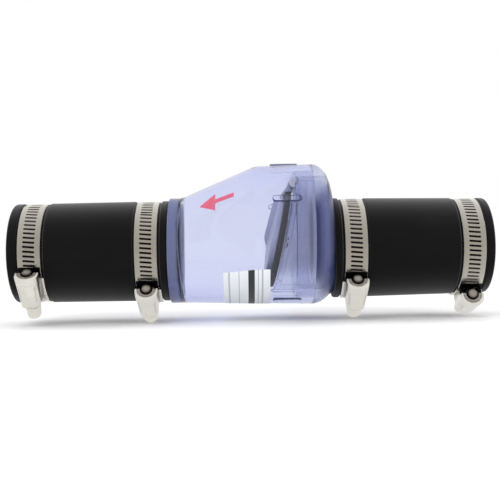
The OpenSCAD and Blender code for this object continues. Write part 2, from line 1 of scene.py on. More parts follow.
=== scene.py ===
import math
import bpy
import bmesh
import numpy as np
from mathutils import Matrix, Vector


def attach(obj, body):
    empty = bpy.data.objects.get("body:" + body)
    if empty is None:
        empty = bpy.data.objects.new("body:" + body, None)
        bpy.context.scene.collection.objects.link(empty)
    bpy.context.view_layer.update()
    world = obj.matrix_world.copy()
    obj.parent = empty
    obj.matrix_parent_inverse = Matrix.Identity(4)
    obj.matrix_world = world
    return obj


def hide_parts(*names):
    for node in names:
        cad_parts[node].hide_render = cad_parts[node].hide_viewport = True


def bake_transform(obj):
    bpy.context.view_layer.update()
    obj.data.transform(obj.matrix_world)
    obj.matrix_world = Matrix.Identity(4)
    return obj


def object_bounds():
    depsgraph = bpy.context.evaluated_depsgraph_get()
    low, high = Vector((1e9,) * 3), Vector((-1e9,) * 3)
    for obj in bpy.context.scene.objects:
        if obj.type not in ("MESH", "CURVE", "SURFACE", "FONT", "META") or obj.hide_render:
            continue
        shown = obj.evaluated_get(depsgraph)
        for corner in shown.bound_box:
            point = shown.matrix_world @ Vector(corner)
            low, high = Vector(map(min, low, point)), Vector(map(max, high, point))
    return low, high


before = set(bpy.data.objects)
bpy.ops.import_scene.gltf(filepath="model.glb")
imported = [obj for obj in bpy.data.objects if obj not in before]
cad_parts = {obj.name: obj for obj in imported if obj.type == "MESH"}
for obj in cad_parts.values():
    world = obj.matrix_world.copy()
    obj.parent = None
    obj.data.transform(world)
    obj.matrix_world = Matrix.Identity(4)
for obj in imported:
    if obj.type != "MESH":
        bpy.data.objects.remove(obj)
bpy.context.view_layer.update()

scene = bpy.context.scene
mm = 0.001
clampNames = ["inlet_mouth", "inlet_body", "outlet_body", "outlet_mouth"]

# camera
camera = {"target": (0.1382, 0.0, -0.0004), "distance": 0.495, "yaw": 0.6, "roll": 1.05,
          "lens": 60.0, "sensor": 36.0}


# an object at the origin
def newObject(name, data):
    obj = bpy.data.objects.new(name, data)
    scene.collection.objects.link(obj)
    return obj


# level camera on a circle round the target, turned by yaw from the +Y side, then rolled
def makeCamera():
    data = bpy.data.cameras.new("camera")
    data.sensor_width = camera["sensor"]
    data.lens = camera["lens"]
    obj = newObject("camera", data)
    yaw, (x, y, z) = math.radians(camera["yaw"]), camera["target"]
    obj.location = (x + camera["distance"] * math.sin(yaw), y + camera["distance"] * math.cos(yaw), z)
    obj.rotation_euler = (math.radians(90), math.radians(camera["roll"]), math.pi - yaw)
    scene.camera = obj


makeCamera()
print("camera made")


# a socket of a material, with maths: an expression on it adds Math nodes
class Shade:
    def __init__(self, tree, out=None):
        self.tree = tree
        self.out = out

    # adds a node: its settings first, then the values or links of its sockets
    def node(self, kind, settings=None, values=None, output=0):
        made = self.tree.nodes.new("ShaderNode" + kind)
        for name, value in (settings or {}).items():
            setattr(made, name, value)
        for name, value in (values or {}).items():
            if isinstance(value, Shade):
                self.tree.links.new(value.out, made.inputs[name])
            else:
                made.inputs[name].default_value = value
        return Shade(self.tree, made.outputs[output])

    def maths(self, operation, a, b=0.0):
        return self.node("Math", {"operation": operation}, {0: a, 1: b})

    def __add__(self, other):
        return self.maths("ADD", self, other)

    __radd__ = __add__

    def __sub__(self, other):
        return self.maths("SUBTRACT", self, other)

    def __rsub__(self, other):
        return self.maths("SUBTRACT", other, self)

    def __mul__(self, other):
        return self.maths("MULTIPLY", self, other)

    __rmul__ = __mul__

    def __pow__(self, other):
        return self.maths("POWER", self, other)

    # 0 below low and 1 above high, with a soft step between
    def between(self, low, high):
        return self.node("MapRange", {"interpolation_type": "SMOOTHSTEP"},
                         {0: self, 1: low, 2: high, 3: 0.0, 4: 1.0})

    # first where the share is 0, second where it is 1
    def mixed(self, first, second):
        return self.node("Mix", {"data_type": "RGBA"}, {0: self, 6: first, 7: second}, 2)


# an empty material, its tree to add nodes to, and its Object coordinates in metres
def newMaterial(name):
    material = bpy.data.materials.new(name)
    material.use_nodes = True
    material.node_tree.nodes.clear()
    sh = Shade(material.node_tree)
    return material, sh, sh.node("TexCoord", output=3)


# screen values from 0 to 255, as the linear colour that renders as them
def colour(r, g, b):
    linear = [((v / 255 + 0.055) / 1.055) ** 2.4 if v > 10 else v / 255 / 12.92 for v in (r, g, b)]
    return (*linear, 1.0)


# the wanted axes of a place, each as a number
def axesOf(sh, place, wanted):
    return [sh.node("SeparateXYZ", None, {0: place}, "xyz".index(axis)) for axis in wanted]


# soft noise from 0 to 1, with one blob in each 1/scale of the vector: a scale for each axis draws it out
def noise(sh, vector, scale, detail=3.0, roughness=0.5):
    if isinstance(scale, tuple):
        vector, scale = sh.node("VectorMath", {"operation": "MULTIPLY"}, {0: vector, 1: scale}), 1.0
    values = {"Vector": vector, "Scale": scale, "Detail": detail, "Roughness": roughness}
    return sh.node("TexNoise", None, values)


# normal tilted by the slope of a height
def bumped(sh, height, strength, distance):
    return sh.node("Bump", None, {"Height": height, "Strength": strength, "Distance": distance})


# the end of a material: its surface, and its volume if it has one
def ended(material, surface, volume=None):
    out = surface.tree.nodes.new("ShaderNodeOutputMaterial")
    surface.tree.links.new(surface.out, out.inputs[0])
    if volume:
        surface.tree.links.new(volume.out, out.inputs[1])
    return material


# how a hazy glued zone fades: over its start, past its height, and to its light colour away from the middle
zoneForm = {"start": 0.0008, "top": 0.014, "away": (0.008, 0.026), "most": 0.8, "stray": 0.002,
            "roughness": 0.35}


# clear moulded vinyl: real glass for sight, open to the lamps' rays, a blue-grey tint by depth, and a
# hazy glued zone whose share rises and falls along X and goes to nothing away from a middle height
def makeClear(name, look):
    material, sh, place = newMaterial(name)
    flow = noise(sh, place, (30, 90, 90), 2.0)
    ripple = bumped(sh, flow, look["ripple"], 0.0006)
    speck = noise(sh, place, 900.0, 2.0)
    rough = look["roughness"] + speck.between(0.62, 0.8) * 0.05
    glass = sh.node("BsdfPrincipled", None, {
        "Base Color": look["film"], "Roughness": rough, "IOR": look["ior"],
        "Transmission Weight": 1.0, "Normal": ripple})
    form, (x, z) = zoneForm, axesOf(sh, place, "xz")
    start, end = look["zone"]
    cloud = noise(sh, place, 60.0)
    share = x.between(start, start + form["start"]) * (1 - x.between(end, end + look["fade"])) * look["haze"]
    height = sh.maths("ABSOLUTE", z - look["middle"])
    share = share * (1 - height.between(look["high"], look["high"] + form["top"]))
    along = (x + (cloud - 0.5) * form["stray"]).between(*look["turn"])
    light = sh.maths("MAXIMUM", along, height.between(*form["away"]) * form["most"])
    haze = sh.node("BsdfPrincipled", None, {
        "Base Color": light.mixed(look["hazeDark"], look["hazeLight"]),
        "Roughness": form["roughness"], "Normal": ripple})
    glass = sh.node("MixShader", None, {0: share, 1: glass, 2: haze})
    passed = sh.node("BsdfTransparent", None, {0: look["passed"]})
    shadow = sh.node("LightPath", output=1)
    both = sh.node("MixShader", None, {0: shadow, 1: glass, 2: passed})
    depth = sh.node("VolumeAbsorption", None, {"Color": look["tint"], "Density": look["density"]})
    return ended(material, both, depth)


# moulded rubber: broad mottling, fine grain, pale bloom and long scuffs, and a painted sheen that lightens
# its colour at grazing angles
def makeRubber(name, look):
    material, sh, place = newMaterial(name)
    broad = noise(sh, place, 28.0, 4.0, 0.6)
    grain = noise(sh, place, 1400.0, 3.0, 0.6)
    bloom = noise(sh, place, (22, 60, 60), 5.0, 0.65).between(0.52, 0.75)
    scuff = noise(sh, place, (260, 40, 40), 3.0, 0.7).between(0.66, 0.78)
    base = broad.mixed(look["dark"], look["light"])
    base = (bloom * 0.45).mixed(base, look["bloom"])
    base = (scuff * 0.35).mixed(base, look["bloom"])
    rough = look["roughness"] + bloom * 0.12 - scuff * 0.1
    height = grain * 0.6 + broad * 0.5
    # painted sheen: the colour goes towards pale grey at grazing angles
    edge = sh.node("LayerWeight", None, {"Blend": 0.5}, 1) ** 2.6 * look["paintedSheen"]
    skin = sh.node("BsdfPrincipled", None, {
        "Base Color": edge.mixed(base, (0.9, 0.9, 0.9, 1)), "Roughness": rough,
        "Specular IOR Level": look["specular"], "Normal": bumped(sh, height, look["bump"], 0.0002)})
    return ended(material, skin)


# rolled stainless strip: fine lines run along the strip, round the pipe's axis, and a painted reflection
# lightens its colour at grazing angles
def makeStrip(name, look):
    material, sh, place = newMaterial(name)
    x, y, z = axesOf(sh, place, "xyz")
    turn = sh.maths("ARCTAN2", y, z)
    along = sh.node("CombineXYZ", None, {0: x * 5200.0, 1: turn * 6.0, 2: 0.0})
    lines = noise(sh, along, 1.0, 3.0, 0.7)
    cloud = noise(sh, place, 60.0, 3.0)
    smear = noise(sh, place, (90, 50, 50), 4.0, 0.6).between(0.5, 0.8)
    base = (cloud * 0.6 + lines * 0.4).mixed(look["dark"], look["light"])
    base = (smear * 0.4).mixed(base, look["stain"])
    rough = look["roughness"] + lines * 0.14 + smear * 0.08
    # painted reflection: the colour goes towards a pale shine at grazing angles
    edge = sh.node("LayerWeight", None, {"Blend": 0.5}, 1) * look["paintedReflectionShare"]
    metal = sh.node("BsdfPrincipled", None, {
        "Base Color": edge.mixed(base, look["paintedReflectionColour"]), "Metallic": 1.0, "Roughness": rough,
        "Normal": bumped(sh, lines, look["bump"], 0.00005)})
    return ended(material, metal)


# pressed and plated steel: soft mottling, faint drawing marks, brighter worn patches, and painted shade by an
# attribute of its points
def makePressed(name, look):
    material, sh, place = newMaterial(name)
    mottle = noise(sh, place, 160.0, 4.0, 0.6)
    drawn = noise(sh, place, (2600, 500, 500), 2.0, 0.6)
    worn = noise(sh, place, 70.0, 3.0, 0.55).between(0.55, 0.72)
    base = mottle.mixed(look["dark"], look["light"])
    base = (worn * 0.4).mixed(base, look["worn"])
    # painted shade: each point's attribute mixes the colour towards a dark shade colour
    base = sh.node("Attribute", {"attribute_name": "paintedShade"}, None, 2).mixed(base, look["paintedShade"])
    rough = look["roughness"] + mottle * 0.1 - worn * 0.08
    metal = sh.node("BsdfPrincipled", None, {
        "Base Color": base, "Metallic": 1.0, "Roughness": rough,
        "Normal": bumped(sh, drawn * 0.5 + mottle * 0.5, look["bump"], 0.00006)})
    return ended(material, metal)


# moulded plastic: faint flow marks and a fine grain
def makeMoulded(name, look):
    material, sh, place = newMaterial(name)
    flow = noise(sh, place, (50, 120, 50), 3.0)
    grain = noise(sh, place, 1800.0, 2.0)
    base = flow.mixed(look["dark"], look["light"])
    rough = look["roughness"] + grain * 0.08
    skin = sh.node("BsdfPrincipled", None, {
        "Base Color": base, "Roughness": rough, "Normal": bumped(sh, grain + flow, look["bump"], 0.0001)})
    return ended(material, skin)


# paper label: white with one plain dark stripe and thinner grey lines, each at its place along X
def makePaper(name, look):
    material, sh, place = newMaterial(name)
    x = axesOf(sh, place, "x")[0]
    fibre = noise(sh, place, 700.0, 4.0, 0.7)
    stripe = x.between(look["from"], look["from"] + 0.0001) * (1 - x.between(look["to"], look["to"] + 0.0001))
    base = fibre.mixed(look["dark"], look["light"])
    base = stripe.mixed(base, look["stripe"])
    for centre, half in look["lines"]:
        line = (1 - sh.maths("ABSOLUTE", x - centre).between(half - 0.0001, half)) * 0.45
        base = line.mixed(base, look["stripe"])
    skin = sh.node("BsdfPrincipled", None, {
        "Base Color": base, "Roughness": 0.5 + fibre * 0.1, "Normal": bumped(sh, fibre, 0.1, 0.00003)})
    return ended(material, skin)


# printed ink, thin where a fine noise is low
def makeInk(name, look):
    material, sh, place = newMaterial(name)
    cover = noise(sh, place, 1600.0, 3.0, 0.7)
    base = cover.mixed(look["dark"], look["light"])
    skin = sh.node("BsdfPrincipled", None, {
        "Base Color": base, "Roughness": 0.35 + cover * 0.15, "Alpha": 0.5 + cover.between(0.3, 0.55) * 0.35})
    return ended(material, skin)


bodyLook = {
    "film": (1.0, 1.0, 1.0, 1.0), "passed": (0.86, 0.88, 0.96, 1.0), "roughness": 0.015, "ior": 1.42,
    "ripple": 0.12, "tint": (0.0, 0.118, 0.763, 1.0), "density": 60.4,
    "zone": (0.1787, 0.186), "fade": 0.001, "middle": 0.0, "high": 0.04, "haze": 0.58,
    "turn": (0.1787, 0.1805), "hazeDark": colour(50, 54, 76), "hazeLight": colour(104, 112, 150)}
clearVinyl = makeClear("clearVinyl", bodyLook)
# the pads' rims: the body's vinyl with a darker blue haze over all of them, painted shade for their dark
# edges
rimVinyl = makeClear("rimVinyl", {
    **bodyLook, "passed": (0.8, 0.82, 0.92, 1.0), "roughness": 0.05, "zone": (0.1, 0.135), "high": 0.1,
    "haze": 0.6, "turn": (0.1, 0.101), "hazeDark": colour(44, 50, 96), "hazeLight": colour(52, 60, 112)})
hubVinyl = makeClear("hubVinyl", {
    "film": (0.94, 0.94, 0.97, 1.0), "passed": (0.82, 0.84, 0.92, 1.0), "roughness": 0.02, "ior": 1.2,
    "ripple": 0.12, "tint": (0.0, 0.12, 0.6, 1.0), "density": 22.0,
    "zone": (0.06, 0.0937), "fade": 0.009, "middle": 0.002, "high": 0.022, "haze": 0.92,
    "turn": (0.0905, 0.0965), "hazeDark": colour(26, 30, 58), "hazeLight": colour(76, 84, 130)})
tintedVinyl = makeClear("tintedVinyl", {
    "film": (0.95, 0.96, 0.98, 1.0), "passed": (0.75, 0.78, 0.85, 1.0), "roughness": 0.06, "ior": 1.06,
    "ripple": 0.1, "tint": (0.0, 0.12, 0.5, 1.0), "density": 8.0,
    "zone": (0.09, 0.13), "fade": 0.002, "middle": 0.0105, "high": 0.018, "haze": 0.2,
    "turn": (0.095, 0.12), "hazeDark": colour(62, 74, 134), "hazeLight": colour(92, 104, 164)})
sleeveRubber = makeRubber("sleeveRubber", {
    "dark": colour(15, 15, 15), "light": colour(20, 20, 20), "bloom": colour(28, 28, 28),
    "roughness": 0.5, "specular": 0.03, "bump": 0.3, "paintedSheen": 0.2})
facingRubber = makeRubber("facingRubber", {
    "dark": colour(34, 35, 39), "light": colour(44, 45, 50), "bloom": colour(54, 55, 60),
    "roughness": 0.45, "specular": 0.1, "bump": 0.2, "paintedSheen": 0.1})
smokePlastic = makeMoulded("smokePlastic", {
    "dark": colour(166, 168, 184), "light": colour(196, 198, 214), "roughness": 0.22, "bump": 0.08})
stripSteel = makeStrip("stripSteel", {
    "dark": colour(141, 136, 126), "light": colour(166, 160, 149), "stain": colour(120, 113, 101),
    "paintedReflectionColour": colour(236, 233, 226), "paintedReflectionShare": 0.95, "roughness": 0.2, "bump": 0.3})
pressedSteel = makePressed("pressedSteel", {
    "dark": colour(208, 205, 197), "light": colour(228, 225, 217), "worn": colour(238, 235, 228),
    "paintedShade": colour(92, 85, 76), "roughness": 0.24, "bump": 0.2})
screwSteel = makePressed("screwSteel", {
    "dark": colour(212, 208, 198), "light": colour(230, 227, 218), "worn": colour(240, 237, 229),
    "paintedShade": colour(92, 85, 76), "roughness": 0.18, "bump": 0.15})
# darker, browner steel for the housings' half rings and the screws' domed tips; on the half rings the
# darkness is painted shade
tipSteel = makePressed("tipSteel", {
    "dark": colour(138, 131, 124), "light": colour(164, 157, 150), "worn": colour(196, 190, 184),
    "paintedShade": colour(62, 56, 52), "roughness": 0.24, "bump": 0.2})
# very dark steel for the worm and its neck inside the housing: painted shade
wormSteel = makePressed("wormSteel", {
    "dark": colour(44, 40, 37), "light": colour(62, 58, 54), "worn": colour(84, 79, 73),
    "paintedShade": colour(30, 28, 26), "roughness": 0.28, "bump": 0.2})
# near-black steel for the insides of the housings, the sheet under each mouth and the end walls: painted
# shade
paintedShadeSteel = makePressed("paintedShadeSteel", {
    "dark": colour(20, 18, 17), "light": colour(32, 30, 28), "worn": colour(46, 43, 40),
    "paintedShade": colour(20, 18, 17), "roughness": 0.5, "bump": 0.2})
labelPaper = makePaper("labelPaper", {
    "dark": colour(216, 219, 222), "light": colour(229, 232, 236), "stripe": colour(32, 32, 36),
    "from": 0.1361, "to": 0.1397,
    "lines": [(0.1318, 0.0005), (0.1342, 0.0003), (0.1449, 0.0003), (0.1505, 0.0005)]})
redInk = makeInk("redInk", {"dark": colour(196, 70, 100), "light": colour(214, 96, 126)})
print("materials made")


# n angles round a circle
def circle(n):
    return np.linspace(0, math.tau, n, endpoint=False)


# coordinates, spread to one shape, as points
def asPoints(*parts):
    return np.stack(np.broadcast_arrays(*parts), -1)


# faces of a grid of rows and columns, each of which may close on itself
def gridFaces(rows, columns, wrapRows=False, wrapColumns=False, start=0):
    i, j = np.indices((rows - (not wrapRows), columns - (not wrapColumns)))
    ni, nj = (i + 1) % rows, (j + 1) % columns
    corners = [a * columns + b for a, b in ((i, j), (i, nj), (ni, nj), (ni, j))]
    return start + np.stack(corners, -1).reshape(-1, 4)


# patches of (points, faces) or (points, faces, number of the material) as one object: points within a micron
# joined, faces outwards
def addObject(name, patches, material, body, nodes=(), sharp=32.0):
    points, faces, finish, count = [], [], [], 0
    for pts, fcs, *which in patches:
        pts = np.asarray(pts, float).reshape(-1, 3)
        points.append(pts)
        faces += [tuple(int(v) + count for v in f) for f in fcs]
        finish += [which[0] if which else 0] * len(fcs)
        count += len(pts)
    mesh = bpy.data.meshes.new(name)
    mesh.from_pydata(np.vstack(points).tolist(), [], faces)
    mesh.polygons.foreach_set("material_index", np.array(finish))
    bm = bmesh.new()
    bm.from_mesh(mesh)
    bmesh.ops.remove_doubles(bm, verts=bm.verts, dist=1e-6)
    bmesh.ops.dissolve_degenerate(bm, edges=bm.edges, dist=1e-7)
    bmesh.ops.recalc_face_normals(bm, faces=bm.faces)
    bm.to_mesh(mesh)
    bm.free()
    mesh.polygons.foreach_set("use_smooth", np.ones(len(mesh.polygons), bool))
    mesh.set_sharp_from_angle(angle=math.radians(sharp))
    obj = newObject(name, mesh)
    for each in material if isinstance(material, list) else [material]:
        mesh.materials.append(each)
    if body:
        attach(obj, body)
    if nodes:
        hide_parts(*nodes)
    return obj


# a profile of corners, each rounded by the length given with it: a parabola between its trimmed sides
def rounded(corners, steps=4, closed=False):
    corners = [np.array(c, float) for c in corners]
    out, n = [], len(corners)
    for k, c in enumerate(corners):
        p, trim = c[:-1], c[-1]
        if trim <= 0 or (not closed and k in (0, n - 1)):
            out.append(p)
            continue
        a, b = corners[k - 1][:-1] - p, corners[(k + 1) % n][:-1] - p
        a, b = p + a * min(trim / np.linalg.norm(a), 0.5), p + b * min(trim / np.linalg.norm(b), 0.5)
        for t in np.linspace(0, 1, steps + 1):
            out.append((1 - t) ** 2 * a + 2 * t * (1 - t) * p + t ** 2 * b)
    return np.array(out)


# a profile of (radius, place along the axis) turned round: its sine part, its cosine part and the place
def turned(profile, sides, closed=True):
    a = circle(sides)
    r, along = profile[:, 0][:, None], profile[:, 1][:, None]
    return asPoints(r * np.sin(a), r * np.cos(a), along), gridFaces(len(profile), sides, closed, True)


# a profile of (x, radius) turned round the pipe's axis
def ringed(profile):
    pts, faces = turned(profile[:, ::-1], 160)
    return pts[..., [2, 0, 1]] * mm, faces


# sizes shared with the solids, in millimetres
valve = {
    "hub": 90.0, "floor": 95.0, "rim": 102.0, "flare": 132.0, "cavity": 180.0, "collar": 180.5,
    "shoulder": 185.0, "outlet": 275.0, "rise": 8.45, "chamberR": 41.35, "draft": 0.75, "chamberLength": 30.0,
    "flareLength": 48.5, "blend": 0.11, "collarR": 30.9, "wall": 3.5, "fillet": 2.4,
    "lean": math.tan(math.radians(2.6)), "boreR": 20.43, "stubR": 24.13, "reach": 42.0, "sleeveBore": 24.25,
    "sleeveR": 29.45, "groove": 1.0, "grooveWidth": 15.6, "insertR": 33.5, "insertRise": 9.2}


# straight line from 0 to 1 with a parabola at each end
def blendRamp(t):
    b = valve["blend"]
    t = np.clip(t, 0, 1)
    low = t * t / (2 * b * (1 - b))
    high = 1 - (1 - t) ** 2 / (2 * b * (1 - b))
    return np.where(t < b, low, np.where(t > 1 - b, high, (t - b / 2) / (1 - b)))


# 0 at the chamber and 1 at the collar
def flareShare(x):
    return blendRamp((x - valve["flare"]) / valve["flareLength"])


# height of the shell's centre: the chamber's, falling to 0 over the flare
def shellRise(x):
    return valve["rise"] * (1 - flareShare(x))


# outside radius: drafted along the chamber, then down to the collar's over the flare
def shellRadius(x):
    straight = valve["chamberR"] - valve["draft"] * (x - valve["rim"]) / valve["chamberLength"]
    end = valve["chamberR"] - valve["draft"]
    return np.where(x < valve["flare"], straight, end + (valve["collarR"] - end) * flareShare(x))


# rings of [x, height of the centre, radius, lean] as rows of points: X moves by the lean times the height
def ringRows(rings, sides=192):
    a = circle(sides)
    rings = np.array(rings, float)
    x, zc, r, lean = [rings[:, k][:, None] for k in range(4)]
    pts = asPoints(x + lean * r * np.cos(a), r * np.sin(a), zc + r * np.cos(a))
    return pts * mm, gridFaces(len(rings), sides, True, True)


# clear body: rings along the outside from the rim, over collar and stub, through the bore and back inside
def makeBodyShell():
    v, rim, rise, cavity = valve, valve["rim"], valve["rise"], valve["cavity"]
    shoulder, collarR, bore, lean, fillet = v["shoulder"], v["collarR"], v["boreR"], v["lean"], v["fillet"]
    end = shoulder + v["reach"]
    outer = np.concatenate([np.linspace(rim + 0.35, v["flare"], 14),
                            np.linspace(v["flare"], v["collar"], 44)[1:]])
    rings = [[rim + 0.05, rise, v["chamberR"] - 0.35, 0], [rim + 0.1, rise, v["chamberR"] - 0.12, 0]]
    rings += [[x, shellRise(x), shellRadius(x), 0] for x in outer]
    collar = rounded([(v["collar"], collarR, 0), (shoulder, collarR, 0.7), (shoulder, v["stubR"], 0.3),
                      (end, v["stubR"], 0.8), (end, bore, 0.6)], 4)
    rings += [[x, 0, r, 0] for x, r in collar[1:-1]]
    rings += [[end, 0, bore + 0.5, 0], [end - 0.5, 0, bore, 0]]
    rings += [[x, 0, bore, 0] for x in np.linspace(end - 3, cavity + 3, 6)]
    rings += [[cavity + 0.9, 0, bore, lean * 0.8], [cavity + 0.2, 0, bore + 0.2, lean],
              [cavity, 0, bore + 0.8, lean]]
    for a in np.radians(np.linspace(0, 80, 7)):
        x = cavity - fillet * (1 - math.cos(a))
        r = shellRadius(cavity) - v["wall"] - fillet * (1 - math.sin(a))
        rings.append([x, shellRise(cavity), r, lean])
    for x in np.linspace(cavity - fillet, v["flare"], 40):
        rings.append([x, shellRise(x), shellRadius(x) - v["wall"], lean * flareShare(x)])
    for x in np.linspace(v["flare"], rim + 0.05, 14)[1:]:
        rings.append([x, rise, shellRadius(x) - v["wall"], 0])
    return ringRows(rings)


pads = {"angles": [28, 90, 152, 246, 294], "size": (16.3, 3.8, 0.9), "place": 15.5}


# raised pad with round ends: a cap bent round with the wall, and a rim that goes down into it
def makePad(angle):
    rise, middle = valve["rise"], valve["rim"] + pads["place"]
    (length, width, height), n = pads["size"], 40
    t = circle(n)
    straight = (length - width) / 2
    rows = []
    for inset, lift in [(0, -0.05), (0, height * 0.7), (0.12, height * 0.92),
                        (0.35, height), (1.0, height), (1.85, height)]:
        share = 1 - inset / (width / 2)
        x = middle + np.where(np.cos(t) > 0, straight, -straight) + (width / 2) * share * np.cos(t)
        across = width / 2 * share * np.sin(t)
        r = shellRadius(x if lift < 0 else middle) + lift
        a = math.radians(angle) + across / r
        rows.append(asPoints(x, r * np.cos(a), rise + r * np.sin(a)))
    pts = np.array(rows) * mm
    rim = gridFaces(4, n, False, True)
    last = (len(rows) - 1) * n
    flat = gridFaces(3, n, False, True, 3 * n).tolist() + [list(range(n))[::-1], [last + k for k in range(n)]]
    return [(pts, flat), (pts, rim, 1)]


hub = {"dome": 12.0, "foot": 25.6, "spigot": 10.5, "weld": 0.1}


# rounded end: a quarter ellipse from its foot to the rim, then spigot, socket, bore and stub as rings
def makeHub():
    v, rim, rise, floor, length = valve, valve["rim"], valve["rise"], valve["floor"], hub["spigot"]
    spigot = v["chamberR"] - v["wall"] - v["draft"] * length / v["chamberLength"] - hub["weld"]
    socket, bore, stub, inner = v["insertR"] + hub["weld"], v["boreR"], v["stubR"], v["hub"] - v["reach"]
    rings = []
    for a in np.radians(np.linspace(90, 0, 26)):
        rings.append([rim - hub["dome"] * math.sin(a), rise * (1 - (1 - math.cos(a)) ** 2),
                      hub["foot"] + (v["chamberR"] - hub["foot"]) * math.cos(a), 0])
    rings += [[rim, rise, spigot + 1.5, 0], [rim, rise, spigot + 0.2, 0]]
    rings += [[x, rise, spigot, 0] for x in np.linspace(rim + 0.2, rim + length - 0.3, 6)]
    rings += [[rim + length, rise, spigot - 0.3, 0], [rim + length, v["insertRise"], socket + 0.3, 0]]
    rings += [[x, v["insertRise"], socket, 0] for x in np.linspace(rim + length - 0.3, floor + 0.2, 6)]
    rings += [[floor, v["insertRise"], socket - 0.2, 0], [floor, 0, bore + 0.5, 0]]
    rings += [[x, 0, bore, 0] for x in np.linspace(floor - 0.5, inner + 0.5, 10)]
    rings += [[inner, 0, bore + 0.5, 0], [inner, 0, stub - 0.7, 0], [inner + 0.7, 0, stub, 0]]
    rings += [[x, 0, stub, 0] for x in np.linspace(inner + 3, v["hub"] - 0.2, 8)]
    rings += [[v["hub"], 0, stub + 0.2, 0]]
    return ringRows(rings[::-1])


addObject("bodyShell", [makeBodyShell()], clearVinyl, "valve", ["body_shell", "outlet_stub"],
          40)
addObject("inletHub", [makeHub()], hubVinyl, "valve", ["inlet_hub", "inlet_stub"], 40)
for number, angle in enumerate(pads["angles"]):
    addObject("locatingPad_%d" % number, makePad(angle), [clearVinyl, rimVinyl], "valve", (),
              40)
print("clear body made")


# rubber sleeves, each with its squeeze at the mouth and the places of its bands from either end
sleeves = {"length": 90.0, "stop": (1.8, 3.0), "slope": 0.3,
           "inlet": (1.4, 11.8, 11.4), "outlet": (0.4, 12.8, 12.0)}


# half section of a sleeve, from its mouth: bevel, two grooves for the bands, and the stop rib inside
def sleeveProfile(squeeze, mouthInset, bodyInset):
    s, v = sleeves, valve

    def outside(d):
        return v["sleeveR"] - squeeze * (1 - d / s["length"])

    bore, half = v["sleeveBore"], v["grooveWidth"] / 2
    corners = [(0, bore, 0.4), (0, outside(0), 1.3)]
    for d in (mouthInset, s["length"] - bodyInset):
        floor = outside(d) - v["groove"]
        corners += [(d - half, outside(d - half), 0.7), (d - half + s["slope"], floor, 0.35),
                    (d + half - s["slope"], floor, 0.35), (d + half, outside(d + half), 0.7)]
    corners += [(s["length"], v["sleeveR"], 1.3), (s["length"], bore, 0.4)]
    mid, (height, width) = s["length"] / 2, s["stop"]
    corners += [(mid + width / 2, bore, 0.3), (mid + width / 2, bore - height, 0.4),
                (mid - width / 2, bore - height, 0.4), (mid - width / 2, bore, 0.3)]
    return rounded(corners, 5, True)


inletProfile, outletProfile = sleeveProfile(*sleeves["inlet"]), sleeveProfile(*sleeves["outlet"])
outletProfile[:, 0] = valve["outlet"] - outletProfile[:, 0]
addObject("inletSleeve", [ringed(inletProfile)], sleeveRubber, "valve", ["inlet_sleeve"], 50)
addObject("outletSleeve", [ringed(outletProfile)], sleeveRubber, "valve", ["outlet_sleeve"], 50)
print("sleeves made")

# clamps and their screws
clamps = {
    "x": [11.8, 78.6, 197.0, 262.2], "floor": [27.234, 28.273, 28.397, 28.107],
    "screwR": [32.884, 33.923, 34.047, 33.757], "angle": [70.5, 47, 53.5, 35],
    "width": 12.7, "thick": 0.6, "fit": 0.05, "edge": 0.25, "pitch": 2.6, "slot": (6.9, 1.15), "slant": -5.0,
    "tail": (18.0, 102.0), "saddle": (28.0, 7.0), "saddleSides": (4.65, 7.65), "tabs": (6.45, 7.25, 0.122),
    "base": 6.2, "half": 10.3, "room": 4.5, "rim": 6.6, "rimDepth": 4.0, "headHalf": 5.5, "flange": 11.6,
    "head": 19.6, "tip": 10.5}
worm = {"core": 3.4, "deep": 0.7, "pitch": 3.1, "half": 8.8, "fade": 1.2, "neck": 3.1, "dome": 2.62,
        "shank": 2.7, "flangeR": 4.8, "flat": 4.0, "slotHalf": 0.6, "slotDeep": 2.0}


# a turn round X from a clamp's own frame (X across the band, Y out through the screw, Z along it)
def placed(pts, k):
    a = math.radians(clamps["angle"][k])
    x, y, z = pts[..., 0], pts[..., 1], pts[..., 2]
    y, z = y * math.cos(a) + z * math.sin(a), -y * math.sin(a) + z * math.cos(a)
    return asPoints(x + clamps["x"][k], y, z) * mm


# patches of a clamp, each with its points turned
def allPlaced(patches, k):
    return [(placed(pts, k), *rest) for pts, *rest in patches]


# one pitch of slotted strip, flat: rows of 24 points from the cell's edge to the slot and down its wall
def slotCell(inner, outer):
    length, width = clamps["slot"]
    half, step = clamps["width"] / 2 - clamps["edge"], clamps["pitch"] / 2
    a = length / 2 - width / 2
    xs, ss = np.linspace(-half, half, 9), np.linspace(-step, step, 5)
    q = np.concatenate([asPoints(xs[:-1], -step), asPoints(half, ss[:-1]),
                        asPoints(xs[:0:-1], step), asPoints(-half, ss[:0:-1])])
    xa, t = np.linspace(-a, a, 9), np.radians(np.linspace(-90, 90, 5))
    right = asPoints(a + width / 2 * np.cos(t), width / 2 * np.sin(t))
    p = np.concatenate([asPoints(xa[:-1], -width / 2), right[:-1],
                        asPoints(xa[:0:-1], width / 2), -right[:-1]])
    away = asPoints(np.clip((np.abs(p[:, 0]) - a) / (width / 2), 0, 1) * np.sign(p[:, 0]),
                    np.sign(p[:, 1]) * (np.abs(p[:, 0]) <= a + 0.3))
    away = away / np.maximum(np.linalg.norm(away, axis=1), 1e-6)[:, None]
    c, s = math.cos(math.radians(clamps["slant"])), math.sin(math.radians(clamps["slant"]))

    def turn(m):
        return asPoints(m[:, 0] * c + m[:, 1] * s, -m[:, 0] * s + m[:, 1] * c)

    rows = [(q, outer), (turn(p + 0.22 * away), outer), (turn(p + 0.08 * away), outer - 0.02),
            (turn(p), outer - 0.1), (turn(p), inner + 0.05), (q, inner)]
    return np.array([row[0] for row in rows]), np.array([row[1] for row in rows])


